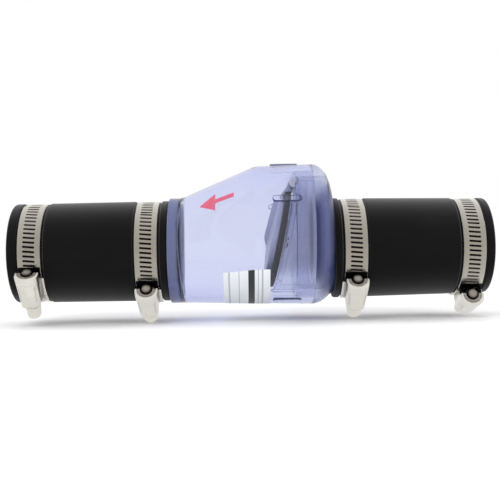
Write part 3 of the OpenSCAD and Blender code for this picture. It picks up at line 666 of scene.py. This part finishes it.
# cells bent round the ring at the angles of their slots, and a rolled edge along each side
def bandPatches(inner, outer, angles, ends):
    flat, height = slotCell(inner, outer)
    span = angles[1] - angles[0]
    squeeze = span / clamps["pitch"]
    patches = []
    cell = gridFaces(6, 24, False, True)
    for a in angles:
        t = a + flat[..., 1] * squeeze
        r = height[:, None]
        patches.append((asPoints(flat[..., 0], r * np.cos(t), r * np.sin(t)), cell))
    half = clamps["width"] / 2 - clamps["edge"]
    edge = np.array([(half, outer), (half + 0.14, outer - 0.03), (half + 0.25, outer - 0.15),
                     (half + 0.25, inner + 0.15), (half + 0.14, inner + 0.03), (half, inner)])
    ss = np.linspace(-0.5, 0.5, 5)[:-1] * span
    t = (np.array(angles)[:, None] + ss).ravel()
    if ends:
        t = np.append(t, angles[-1] + span / 2)
    wide, high = edge.T
    for side in (-1, 1):
        x, r = side * wide[:, None], high[:, None]
        patches.append((asPoints(x, r * np.cos(t), r * np.sin(t)), gridFaces(6, len(t), False, not ends)))
    if ends:
        for a in (angles[0] - span / 2, angles[-1] + span / 2):
            xs = np.linspace(-half, half, 9)
            rows = np.array([outer, inner])[:, None]
            pts = asPoints(xs, rows * math.cos(a), rows * math.sin(a))
            patches.append((pts, gridFaces(2, 9)))
            for side in (-1, 1):
                corners = asPoints(side * wide, high * math.cos(a), high * math.sin(a))
                patches.append((corners, [list(range(6))]))
    return patches


# one band: a closed loop of cells, and a loose tail of cells that lies on it
def makeBand(k):
    c = clamps
    r = c["floor"][k] + c["fit"]
    count = int(math.tau * (r + c["thick"]) / c["pitch"])
    span = math.tau / count
    loop = bandPatches(r, r + c["thick"], [i * span for i in range(count)], False)
    first, last = [int(math.radians(angle) / span) for angle in (-c["tail"][0], c["tail"][1])]
    angles = [i * span for i in range(first, last + 1)]
    tail = bandPatches(r + c["thick"] + 0.01, r + 2 * c["thick"], angles, True)
    return allPlaced(loop + tail, k)


for k, clampName in enumerate(clampNames):
    addObject("band_" + clampName, makeBand(k), stripSteel, "valve", ["band_" + clampName], 35)
print("bands made")


# rows of points, each row a closed loop, with a flat end at each end
def tube(rows):
    pts = np.asarray(rows, float)
    m, n = pts.shape[:2]
    faces = gridFaces(m, n, False, True).tolist()
    return pts, faces + [list(range(n)), [(m - 1) * n + k for k in range(n)]]


# rounded box bent round the pipe, from one place across, radius and angle to another of each
def bentSlab(x0, x1, r0, r1, start, end, edge=0.22, steps=16):
    corner = rounded([(x0, r0, edge), (x1, r0, edge), (x1, r1, edge), (x0, r1, edge)], 3, True)
    mid = corner.mean(0)
    rows = []
    ends = [(0, 0.72), (0.003, 0.9), (0.008, 1.0)]
    places = [(start + a, s) for a, s in ends] + [(a, 1.0) for a in np.linspace(start, end, steps)[1:-1]]
    places += [(end - a, s) for a, s in ends[::-1]]
    for a, shrink in places:
        q = mid + (corner - mid) * np.array([1 - (1 - shrink) * 0.3, shrink])
        rows.append(asPoints(q[:, 0], q[:, 1] * math.cos(a), q[:, 1] * math.sin(a)))
    return tube(rows)


# the points of a mesh
def pointsOf(mesh):
    pts = np.empty(len(mesh.vertices) * 3)
    mesh.vertices.foreach_get("co", pts)
    return pts.reshape(-1, 3)


# painted shade on a housing or screw, from 0 to 1 at each point: by its place in the clamp's own frame
def addPaintedShade(obj, k, formula):
    x, y, z = pointsOf(obj.data).T / mm
    a = math.radians(clamps["angle"][k])
    up, along = y * math.cos(a) - z * math.sin(a), y * math.sin(a) + z * math.cos(a)
    share = formula(x - clamps["x"][k], up - clamps["screwR"][k], along)
    obj.data.attributes.new("paintedShade", "FLOAT", "POINT").data.foreach_set("value", np.clip(share, 0, 1))


# painted shade: in the gap at the flange, down the legs, along the two bends, and on the saddle beside the
# legs
def housingPaintedShade(x, up, z):
    c, h = clamps, clamps["half"]
    gap = np.exp(-((z + h - 0.25) / 0.4) ** 2)
    legs = 0.75 * np.clip((-0.6 - up) / 2.6, 0, 1)
    wide = c["headHalf"] + (c["rim"] - c["headHalf"]) * (z + h) / (2 * h)
    bends = 0.3 * np.exp(-((np.abs(x) - 0.72 * wide) / 0.4) ** 2) * (up > 0) * (np.abs(z) < 5.6)
    return np.maximum(np.maximum(gap, legs * (np.abs(x) < wide + 0.3)), bends)


# painted shade: behind the flange, between flange and head, and round the edge of the domed tip
def screwPaintedShade(x, up, z):
    r = np.hypot(x, up)
    behind = np.exp(-((z + clamps["flange"] - 1) / 0.3) ** 2) * (r > 2.8)
    foot = 0.9 * np.exp(-((z + clamps["flange"]) / 0.3) ** 2) * (r < 4.75)
    tip = 0.85 * np.clip((r - 0.8) / 1.8, 0, 1) ** 2 * (z > 9)
    return np.maximum(np.maximum(behind, foot), tip)


# radius that a housing sits at: over the loop and its tail
def seatRadius(k):
    return clamps["floor"][k] + 2 * clamps["fit"] + 2 * clamps["thick"]


# one section across a housing: outside from foot to foot over the top, and back inside
def archSection(k, z, shrink, grow, cut):
    c, top, seat = clamps, clamps["screwR"][k], seatRadius(k)
    arch = np.radians(np.linspace(90, -90, 37))
    share = (z + c["half"]) / (2 * c["half"])
    w = c["headHalf"] + (c["rim"] - c["headHalf"]) * share - shrink
    high = c["rim"] - 0.5 * (1 - share) - shrink
    foot = top - 0.3 if cut else math.sqrt(seat ** 2 - z ** 2) + 0.1
    r = c["room"] + grow
    # a square-shouldered arch: both axes of an ellipse raised to a power below 1
    across, up = [np.sign(f) * np.abs(f) ** 0.64 for f in (np.sin(arch), np.cos(arch))]
    outer = asPoints(w * across, top + high * up)
    inner = asPoints(r * np.sin(arch[::-1]), top + r * np.cos(arch[::-1]))
    legs = [[[side * size, foot], [side * size, (foot + top) / 2]]
            for side, size in ((1, w), (-1, w), (-1, r), (1, r))]
    both = np.concatenate([legs[0], outer, legs[1][::-1], legs[2], inner, legs[3][::-1]])
    return np.column_stack([both, np.full(len(both), z)])


# pressed housing: a sheet arch over the screw that widens to its tip, a thick half ring there, an end wall,
# and a saddle
def makeHousing(k):
    c, top, seat = clamps, clamps["screwR"][k], seatRadius(k)
    h, mouth = c["half"], c["half"] - c["rimDepth"]
    patches = []
    low = [(-h + 0.25, 0.45, 0.05), (-h + 0.37, 0.18, 0), (-h + 0.6, 0.03, 0), (-h + 0.9, 0, 0)]
    low += [(z, 0, 0) for z in np.linspace(-h + 2, mouth - 0.4, 9)]
    low += [(mouth - 0.1, 0.03, 0), (mouth, 0.12, 0)]
    high = [(z, 0, 0) for z in (mouth - 0.6, mouth + 0.8, h - 0.9)]
    high += [(h - 0.45, 0.03, 0), (h - 0.14, 0.2, 0), (h, 0.5, 0.1)]
    for stations, cut in ((low, False), (high, True)):
        pts, faces = tube([archSection(k, *row, cut) for row in stations])
        columns = len(pts[0])
        # the arch's inner faces, and the low tube's closed end at the mouth, take the near-black steel:
        # painted shade inside the housing
        inside = [columns // 2 <= f[0] % columns < columns - 1 and len(f) == 4 for f in faces]
        inside[-1] = not cut
        for number in (0, 1):
            patches.append((pts, [f for f, dark in zip(faces, inside) if dark == number], number))
    rim = rounded([(3.4, mouth, 0.3), (c["rim"] - 0.4, mouth, 0.3), (c["rim"] - 0.4, h, 0.7),
                   (3.4, h, 0.5)], 4, True)
    sweep = np.radians(np.linspace(-93, 93, 33))
    ring = tube([asPoints(rim[:, 0] * math.sin(a), top + rim[:, 0] * math.cos(a), rim[:, 1]) for a in sweep])
    # the half ring takes the darker steel: painted shade on the rim
    patches.append((*ring, 2))
    # a thin near-black sheet on the band under the mouth: painted shade where the band runs under the screw
    reach = [math.asin(z / seat) for z in (mouth - 0.8, h - 0.6)]
    patches.append((*bentSlab(-c["base"], c["base"], seat - 0.03, seat + 0.06, *reach, 0.02, 8), 1))
    # the end wall at the head side, in the near-black steel: painted shade in the gap at the flange
    wall = rounded([(3.0, -h + 0.3, 0.15), (5.0, -h + 0.3, 0.2), (5.0, -h + 1.2, 0.1),
                    (3.0, -h + 1.2, 0.1)], 2, True)
    ring, faces = turned(wall, 40)
    patches.append((ring + [0, top, 0], faces, 1))
    start, end = -math.radians(c["saddle"][0]), math.radians(c["saddle"][1])
    for side in (-1, 1):
        lo, hi = sorted(side * place for place in c["saddleSides"])
        patches.append(bentSlab(lo, hi, seat, seat + 0.8, start, end))
        *across, reach = c["tabs"]
        lo, hi = sorted(side * place for place in across)
        patches.append(bentSlab(lo, hi, c["floor"][k] + 0.15, seat + 0.5, -reach, reach))
    return allPlaced(patches, k)


# a profile of (radius, height) turned round the screw's own axis
def spun(profile, top):
    pts, faces = turned(profile, 48, False)
    return pts + [0, top, 0], faces


# worm screw: a helical ridge round the core, its height a cut cosine of turn less place over pitch, then a
# domed tip and a flange
def makeScrew(k):
    s, top, half = worm, clamps["screwR"][k], worm["half"]
    a = circle(48)
    z = np.linspace(-half, half, 121)[:, None]
    ridge = np.cos((z / s["pitch"] - a / math.tau) * math.tau)
    fade = np.clip((half - np.abs(z)) / s["fade"], 0, 1)
    r = s["core"] + s["deep"] * fade * np.clip(0.5 + 1.1 * ridge, 0, 1)
    # the worm and neck take the very dark steel: painted shade inside the housing
    patches = [(*tube(asPoints(r * np.sin(a), top + r * np.cos(a), z)), 1)]
    end, face = clamps["tip"], clamps["flange"]
    neck = rounded([(0.001, half - 0.5, 0), (s["neck"], half - 0.5, 0), (s["neck"], end, 0.2),
                    (s["dome"], end + 0.3, 0)], 3)
    tip = rounded([(s["dome"], end + 0.3, 0), (s["dome"] - 0.07, end + 0.7, 0.4), (1.2, end + 1.08, 1.0),
                   (0.001, end + 1.1, 0)], 8)
    patches += [(*spun(neck, top), 1), (*spun(tip, top), 2)]
    flange = rounded([(0.001, -half + 0.3, 0), (s["shank"], -half + 0.3, 0), (s["shank"], 1 - face, 0.1),
                      (s["flangeR"], 1 - face, 0.25), (s["flangeR"], -face, 0.4), (0.001, -face, 0)], 4)
    patches.append(spun(flange, top))
    return allPlaced(patches, k)


# the head: six flats whose corners a cone trims, drawn in at the end, with a slot cut across
def makeHead(k, material):
    top = clamps["screwR"][k]
    a = circle(72)
    near = np.abs((a + math.pi / 6) % (math.pi / 3) - math.pi / 6)
    flats = worm["flat"] / np.cos(near)
    rows = []
    for out, cone in [(-0.3, 4.75), (0.02, 4.74), (0.3, 4.72), (0.7, 4.7), (2.5, 4.5), (4.5, 4.25),
                      (6.5, 3.98), (7.4, 3.8), (7.8, 3.5), (8.0, 3.1)]:
        z = -clamps["flange"] - out
        taper = 1 - 0.05 * out / 8
        r = np.minimum(flats * taper, cone)
        rows.append(asPoints(r * np.sin(a), top + r * np.cos(a), z))
    pts, faces = tube(rows)
    head = addObject("head", [(placed(pts, k), faces)], material, "valve")
    far, wide, end = 6, worm["slotHalf"], -clamps["head"]
    corners = ((-far, -wide), (far, -wide), (far, wide), (-far, wide))
    slot = np.array([[x, top + y, z] for z in (end - 1.4, end + worm["slotDeep"]) for x, y in corners])
    sides = [(0, 1, 2, 3), (4, 5, 6, 7), (0, 1, 5, 4), (1, 2, 6, 5), (2, 3, 7, 6), (3, 0, 4, 7)]
    cutter = addObject("cutter", [(placed(slot, k), sides)], material, "valve")
    cut = head.modifiers.new("slot", "BOOLEAN")
    cut.object, cut.operation, cut.solver = cutter, "DIFFERENCE", "EXACT"
    made = bpy.data.meshes.new_from_object(head.evaluated_get(bpy.context.evaluated_depsgraph_get()))
    for spare in (head, cutter):
        bpy.data.objects.remove(spare)
    return pointsOf(made), [list(p.vertices) for p in made.polygons]


for k, clampName in enumerate(clampNames):
    housing = addObject("housing_" + clampName, makeHousing(k), [pressedSteel, paintedShadeSteel, tipSteel],
                        "valve", ["housing_" + clampName], 38)
    addPaintedShade(housing, k, housingPaintedShade)
    screw = addObject("screw_" + clampName, makeScrew(k) + [makeHead(k, screwSteel)],
                      [screwSteel, wormSteel, tipSteel], clampName + "_screw", ["screw_" + clampName],
                      30)
    addPaintedShade(screw, k, screwPaintedShade)
print("housings and screws made")

# flapper and spring: the arm's outline is (u, w, rounding), the knuckle its two radii and its far end
flapper = {
    "tilt": 12.0, "centre": (118.5, 4.5), "facing": 0.85, "plate": 4.05, "back": 7.45, "facingR": 28.0,
    "plateR": 23.5, "hole": 2.0, "hinge": (34.0, 1.0), "width": 6.4, "boss": 4.5, "crown": 2.0,
    "crownFoot": 22.7, "knuckle": (1.31, 2.5, -7.2),
    "arm": [(34.8, 0.3, 0.3), (34.8, 3.25, 0.8), (23.1, 6.75, 1.2), (22.3, 10.15, 1.4), (0, 11.65, 3.0),
            (-4.6, 9.45, 0.8), (-4.6, 5.8, 0.3), (20.3, 5.8, 0.3), (28.6, 4.05, 0.4), (29.2, 0.3, 0.3)]}
coil = {"r": 2.21, "pitch": 0.86, "start": 3.8, "turns": 3, "wire": 0.4, "lift": 0.65, "bend": 21.7,
        "foot": -2.1}


# a turn by the seat's tilt, from (u up the seat, v across, w downstream) to the valve's frame
def onSeat(pts):
    t = math.radians(flapper["tilt"])
    u, v, w = pts[..., 0], pts[..., 1], pts[..., 2]
    x0, z0 = flapper["centre"]
    return asPoints(x0 - u * math.sin(t) + w * math.cos(t), -v, z0 + u * math.cos(t) + w * math.sin(t)) * mm


# a profile of (radius, w) turned round the seat's own axis
def seatTurned(profile):
    pts, faces = turned(profile, 128)
    return onSeat(pts[..., [1, 0, 2]]), faces


# round crowned plate, an arm whose outline is drawn in at both sides, and the hinge's knuckle
def makePlate():
    f, low, back, r = flapper, flapper["plate"], flapper["back"], flapper["plateR"]
    top = back + f["crown"] + 0.3
    profile = rounded([(f["hole"], low, 0.1), (r, low, 0.5), (r, back - 0.5, 1.0), (r - 1.2, back, 0.6),
                       (f["boss"] + 1.5, back + f["crown"] * 0.9, 1.5), (f["boss"], top, 0.6),
                       (f["hole"], top, 0.2)], 5, True)
    outline = rounded(f["arm"], 5, True)
    step = np.roll(outline, -1, 0) - np.roll(outline, 1, 0)
    normal = asPoints(step[:, 1], -step[:, 0]) / np.linalg.norm(step, axis=1)[:, None]
    area = np.sum(outline[:, 0] * np.roll(outline[:, 1], -1) - np.roll(outline[:, 0], -1) * outline[:, 1])
    half = f["width"] / 2
    rows = []
    for v, inset in [(-half, 0.35), (-half + 0.1, 0.12), (-half + 0.35, 0), (0, 0),
                     (half - 0.35, 0), (half - 0.1, 0.12), (half, 0.35)]:
        q = outline - normal * inset * np.sign(area)
        rows.append(onSeat(asPoints(q[:, 0], v, q[:, 1])))
    (u, w), (pin, out, far) = f["hinge"], f["knuckle"]
    t = circle(40)
    sleeve = rounded([(pin, far, 0.1), (out, far, 0.25), (out, half, 0.25), (pin, half, 0.1)], 3, True)
    r, y = sleeve[:, 0][:, None], sleeve[:, 1][:, None]
    knuckle = onSeat(asPoints(u + r * np.cos(t), y, w + r * np.sin(t)))
    return [seatTurned(profile), tube(rows), (knuckle, gridFaces(len(sleeve), 40, True, True))]


# rubber disc with a screw hole, round at its outer edge
def makeFacing():
    f = flapper
    profile = rounded([(f["hole"], f["facing"], 0.1), (f["facingR"], f["facing"], 0.7),
                       (f["facingR"], f["plate"], 0.5), (f["hole"], f["plate"], 0.1)], 6, True)
    return [seatTurned(profile)]


# middle line (u, v, w) of the wire: along the crowned plate, tangent onto a helix round the pin, and into
# the seat plate
def springPath():
    f, r, start = flapper, coil["r"], coil["start"]
    u, w = f["hinge"]
    bend = np.array([coil["bend"], start, f["back"] + coil["lift"]])
    reach = (bend[0] - u, bend[2] - w)
    first = math.atan2(reach[1], reach[0]) - math.acos(r / math.hypot(*reach))
    total = math.tau * coil["turns"] + first
    t = np.linspace(0, 1, 150)
    angle = first - total * t
    end = start + coil["pitch"] * total / math.tau
    wound = asPoints(u + r * np.cos(angle), start + (end - start) * t, w + r * np.sin(angle))
    tipR = 0.4 * f["plateR"]
    crown = f["crown"] * (f["crownFoot"] - math.hypot(tipR, start)) / (f["crownFoot"] - f["boss"])
    tip = np.array([tipR, start, f["back"] + crown + coil["lift"]])
    lead = tip + (bend - tip) * np.linspace(0, 1, 10)[:-1, None]
    join = bend + (wound[0] - bend) * np.linspace(0, 1, 10)[:-1, None]
    foot = np.array([u + r, end, coil["foot"]])
    leg = wound[-1] + (foot - wound[-1]) * np.linspace(0, 1, 6)[1:, None]
    return np.concatenate([lead, join, wound, leg])


# a round wire carried along the path, its frame kept level with v
def makeSpring():
    path, sides = springPath(), 10
    tangent = np.gradient(path, axis=0)
    tangent /= np.linalg.norm(tangent, axis=1)[:, None]
    side = np.cross(tangent, [0.0, 1.0, 0.0])
    side /= np.linalg.norm(side, axis=1)[:, None]
    up = np.cross(side, tangent)
    a = circle(sides)[None, :, None]
    rows = path[:, None] + coil["wire"] * (np.cos(a) * side[:, None] + np.sin(a) * up[:, None])
    pts, faces = tube(rows)
    return [(onSeat(pts), faces)]


addObject("flapperPlate", makePlate(), smokePlastic, "flapper", ["flapper_plate"], 35)
addObject("flapperFacing", makeFacing(), facingRubber, "flapper", ["flapper_facing"], 40)
spring = addObject("closingSpring", makeSpring(), screwSteel, None, ["closing_spring"], 60)
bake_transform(spring)
print("flapper and spring made")


# plain label and flow arrow, thin films on the wall
films = {"lift": 0.03, "thick": 0.07, "label": (127.5, 153.7, -118.0, -29.0),
         "arrow": (147.0, 166.5, 41.0, 6.5, 3.2), "head": 9.0}


# a place on the wall, by X and the angle from +Y towards +Z round the shell's own centre
def onShell(x, angle, lift):
    r = shellRadius(x) + lift
    return asPoints(x, r * np.cos(angle), shellRise(x) + r * np.sin(angle))


# a film over a grid of places on the wall: outer and inner face, joined round the edge
def film(x, angle):
    outer, inner = [onShell(x, angle, films["lift"] + h) for h in (films["thick"], 0)]
    edges = [np.concatenate([g[0, :-1], g[:-1, -1], g[-1, :0:-1], g[:0:-1, 0]]) for g in (outer, inner)]
    faces = gridFaces(*x.shape)
    return [(outer * mm, faces), (inner * mm, faces),
            (np.array(edges) * mm, gridFaces(2, len(edges[0]), False, True))]


# label: a film between two places along X and two angles
def makeLabel():
    x0, x1, a0, a1 = films["label"]
    x, a = np.meshgrid(np.linspace(x0, x1, 40), np.radians(np.linspace(a0, a1, 60)), indexing="ij")
    return film(x, a)


# arrow along the flow: a shaft, and a head whose width goes to nothing
def makeArrow():
    x0, x1, angle, wide, shaft = films["arrow"]
    neck = x1 - films["head"]
    patches = []
    for start, end, w0, w1 in ((x0, neck, shaft, shaft), (neck, x1, wide * 2, 0.05)):
        s = np.linspace(0, 1, 30)[:, None]
        t = np.linspace(-0.5, 0.5, 13)
        x = start + (end - start) * s + 0 * t
        a = math.radians(angle) + t * (w0 + (w1 - w0) * s) / shellRadius(x)
        patches += film(x, a)
    return patches


addObject("label", makeLabel(), labelPaper, "valve", (), 40)
addObject("flowArrow", makeArrow(), redInk, "valve", (), 40)
print("label and arrow made")

# CAD nodes that stay, with their finish
finishes = {"seat_insert": tintedVinyl, "facing_washer": screwSteel, "facing_screw": screwSteel,
            "hinge_pin": screwSteel, "pin_clip": screwSteel}
for node, material in finishes.items():
    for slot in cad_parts[node].material_slots:
        slot.material = material
print("finishes set")

# floor, light and background
stageLook = {"size": 1.6, "centre": 0.137, "drop": 0.0002, "fade": (0.25, 0.6), "world": 0.86,
             "mirrored": 0.8}
stageLook["lamps"] = [
    ("keyLamp", (0.45, 0.9, 0.75), (0.137, 0, 0), 0.7, 4.5),
    ("fillLamp", (-0.45, 0.8, 0.35), (0.137, 0, 0), 0.7, 2.5),
    ("topLamp", (0.137, -0.1, 1.0), (0.137, 0, 0), 0.9, 2.5)]


# disc under the lowest point: matt near the object, white far away and in part for mirrored and bent rays
def makeFloor():
    low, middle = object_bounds()[0][2] - stageLook["drop"], stageLook["centre"]
    n = 48
    t = circle(n)
    radii = np.array([0.02, 0.3, 0.6, 1.0, stageLook["size"]])[:, None]
    pts = asPoints(middle + radii * np.cos(t), radii * np.sin(t), low)
    faces = gridFaces(5, n, False, True).tolist() + [list(range(n))]
    mesh = bpy.data.meshes.new("floor")
    mesh.from_pydata(pts.reshape(-1, 3).tolist(), [], faces)
    obj = newObject("floor", mesh)
    material, sh, place = newMaterial("paleFloor")
    x, y = axesOf(sh, place, "xy")
    far = ((x - middle) ** 2 + y ** 2) ** 0.5
    matt = sh.node("BsdfPrincipled", None, {
        "Base Color": (0.94, 0.94, 0.95, 1), "Roughness": 0.9, "Specular IOR Level": 0.1})
    clean = sh.node("Emission", None, {0: (1, 1, 1, 1), 1: 1.0})
    bounced = [sh.node("LightPath", output=k) for k in (3, 6)]
    seen = sh.maths("MAXIMUM", *bounced) * stageLook["mirrored"]
    fade = sh.maths("MAXIMUM", far.between(*stageLook["fade"]), seen)
    mesh.materials.append(ended(material, sh.node("MixShader", None, {0: fade, 1: matt, 2: clean})))


# round soft lamps, each turned so that its -Z looks at its target
def makeLamps():
    for name, place, target, size, power in stageLook["lamps"]:
        data = bpy.data.lights.new(name, "AREA")
        data.shape = "DISK"
        data.size = size
        data.energy = power
        obj = newObject(name, data)
        back = np.array(place) - np.array(target)
        obj.location = place
        obj.visible_glossy = False
        obj.visible_transmission = False
        yaw, tilt = math.atan2(back[1], back[0]), math.acos(back[2] / np.linalg.norm(back))
        obj.rotation_euler = (0, tilt, yaw)


# even grey light, and full white for rays that come straight, mirrored or bent from the camera
def makeWorld():
    world = bpy.data.worlds.new("studio")
    scene.world = world
    world.use_nodes = True
    world.node_tree.nodes.clear()
    sh = Shade(world.node_tree)
    seen = [sh.node("LightPath", output=k) for k in (0, 3, 6)]
    white = sh.maths("MAXIMUM", sh.maths("MAXIMUM", seen[0], seen[1]), seen[2])
    strength = white * (1 - stageLook["world"]) + stageLook["world"]
    back = sh.node("Background", None, {0: (1, 1, 1, 1), 1: strength})
    out = world.node_tree.nodes.new("ShaderNodeOutputWorld")
    world.node_tree.links.new(back.out, out.inputs[0])


makeFloor()
makeLamps()
makeWorld()
scene.view_settings.view_transform = "Standard"
print("stage made")
